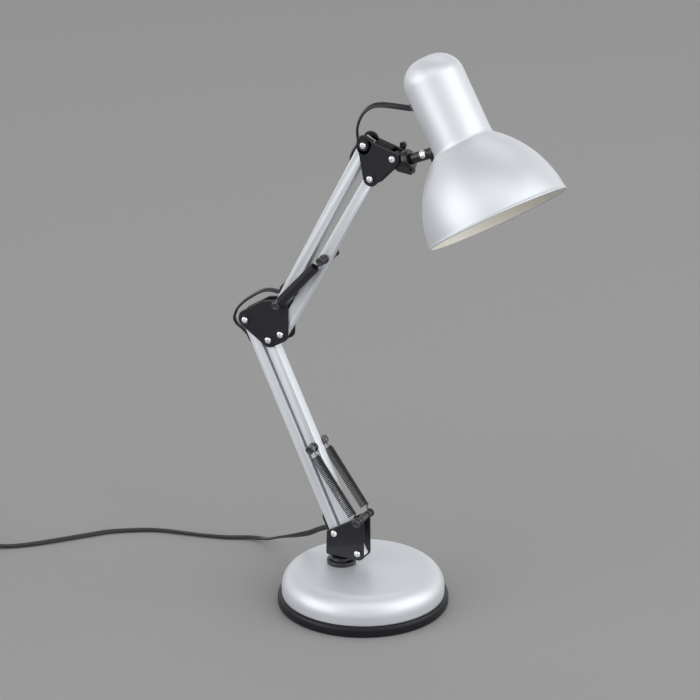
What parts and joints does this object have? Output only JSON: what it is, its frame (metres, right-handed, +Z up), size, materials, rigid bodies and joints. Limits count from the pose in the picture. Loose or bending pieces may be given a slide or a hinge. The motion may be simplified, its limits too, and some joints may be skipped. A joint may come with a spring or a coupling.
{
  "type": "architect desk lamp",
  "caption": "Spring-balanced desk lamp: round weighted base, swivel bracket, two parallel-bar arms, tilting and turning bell shade, mains cord with switch and plug.",
  "frame": {"origin": "centre of the base's underside, on the table", "axes": "+Z up; +X from the base towards the side the shade reaches over; the arms fold in the XZ plane"},
  "size_m": [0.7113, 0.227, 0.5396],
  "materials": {
    "silver": "semi-gloss silver lacquer",
    "shade_silver": "semi-gloss silver lacquer, off-white inside",
    "black": "satin moulded black",
    "plate": "satin black",
    "zinc": "zinc-plated",
    "spring": "black enamelled spring wire",
    "rubber": "matte",
    "iron": "rough cast",
    "felt": "felt",
    "pvc": "satin soft PVC",
    "porcelain": "white moulded lampholder"
  },
  "bodies": {
    "base": {"base_pad": "felt", "base_weight": "iron", "base_cover": "silver", "base_ring": "rubber", "swivel_collar": "black", "cord": "pvc", "cord_switch": "black", "cord_coil": "pvc", "cord_tie": "pvc", "plug": "black"},
    "bracket": {"bracket_plate_front": "plate", "bracket_plate_back": "plate", "bracket_foot": "plate", "bracket_post": "black", "bolt_s1": "zinc", "bolt_s2": "zinc", "lower_spring_front": "spring", "lower_spring_back": "spring"},
    "lower_rear": {"lower_rear_bar": "silver", "lower_rear_insert_low": "black", "lower_rear_insert_high": "black", "lead_lower": "pvc"},
    "lower_front": {"lower_front_bar": "silver", "lower_front_insert_low": "black", "lower_front_insert_high": "black", "lower_post": "black"},
    "elbow": {"elbow_plate_front": "plate", "elbow_plate_back": "plate", "bolt_e1": "zinc", "bolt_e2": "zinc", "bolt_e3": "zinc", "elbow_post": "black", "upper_spring_front": "spring", "upper_spring_back": "spring"},
    "upper_rear": {"upper_rear_bar": "silver", "upper_rear_insert_low": "black", "upper_rear_insert_high": "black", "lead_upper": "pvc"},
    "upper_front": {"upper_front_bar": "silver", "upper_front_insert_low": "black", "upper_front_insert_high": "black", "upper_post": "black"},
    "head": {"head_plate_front": "plate", "head_plate_back": "plate", "head_web": "plate", "bolt_h1": "zinc", "bolt_h2": "zinc", "bolt_h3": "zinc", "lead_head": "pvc"},
    "wing_nut": {"wing_nut": "black"},
    "knuckle": {"tilt_knuckle": "black"},
    "shade": {"stem": "black", "stem_screw": "zinc", "shade_saddle": "black", "shade": "shade_silver", "grommet": "black", "lampholder": "porcelain", "lampholder_ring": "porcelain"},
    "rocker": {"switch_rocker": "black"}
  },
  "joints": [
    {"name": "swivel", "type": "hinge", "parent": "base", "child": "bracket", "pos_m": [-0.0227, 0, 0.04], "axis": [0, 0, 1], "range_deg": [-120, 120], "deforming": ["cord"]},
    {"name": "lower_arm", "type": "hinge", "parent": "bracket", "child": "lower_rear", "pos_m": [-0.0262, 0, 0.0668], "axis": [0, 1, 0], "range_deg": [-4.5, 16], "deforming": ["lower_spring_front", "lower_spring_back", "lead_lower"]},
    {"name": "lower_front_pivot", "type": "hinge", "parent": "bracket", "child": "lower_front", "pos_m": [-0.002, 0, 0.051], "axis": [0, 1, 0], "range_deg": [-4.5, 16], "deforming": ["lower_spring_front", "lower_spring_back"]},
    {"name": "elbow_pivot", "type": "hinge", "parent": "lower_rear", "child": "elbow", "pos_m": [-0.1185, 0, 0.2641], "axis": [0, 1, 0], "range_deg": [-16, 4.5], "deforming": ["lead_lower"]},
    {"name": "upper_arm", "type": "hinge", "parent": "elbow", "child": "upper_rear", "pos_m": [-0.0827, 0, 0.286], "axis": [0, 1, 0], "range_deg": [-5.5, 62], "deforming": ["upper_spring_front", "upper_spring_back", "lead_upper"]},
    {"name": "upper_front_pivot", "type": "hinge", "parent": "elbow", "child": "upper_front", "pos_m": [-0.0817, 0, 0.256], "axis": [0, 1, 0], "range_deg": [-5.6, 61], "deforming": ["upper_spring_front", "upper_spring_back"]},
    {"name": "head_pivot", "type": "hinge", "parent": "upper_rear", "child": "head", "pos_m": [0.0035, 0, 0.4507], "axis": [0, 1, 0], "range_deg": [-55, 5], "deforming": ["lead_upper", "lead_head"]},
    {"name": "shade_tilt", "type": "hinge", "parent": "head", "child": "knuckle", "pos_m": [0.0322, 0, 0.4423], "axis": [0, 1, 0], "range_deg": [-35, 62], "deforming": ["lead_head"]},
    {"name": "shade_turn", "type": "hinge", "parent": "knuckle", "child": "shade", "pos_m": [0.0973, 0, 0.4646], "axis": [0.9157, 0, 0.4019], "range_deg": [-66, 84], "deforming": ["lead_head"]},
    {"name": "wing_nut_turn", "type": "hinge", "parent": "head", "child": "wing_nut", "pos_m": [0.0322, 0.012, 0.4423], "axis": [0, 1, 0], "range_deg": [-180, 180]},
    {"name": "switch_rocker_tip", "type": "hinge", "parent": "base", "child": "rocker", "pos_m": [-0.404, -0.08, 0.01], "axis": [-0.5564, 0.8309, 0], "range_deg": [0, 14]}
  ],
  "couplings": [
    {"joint": "lower_front_pivot", "follows": "lower_arm", "ratio": 1},
    {"joint": "elbow_pivot", "follows": "lower_arm", "ratio": -1},
    {"joint": "upper_front_pivot", "follows": "upper_arm", "ratio": 0.977},
    {"joint": "head_pivot", "follows": "upper_arm", "ratio": -0.88}
  ]
}
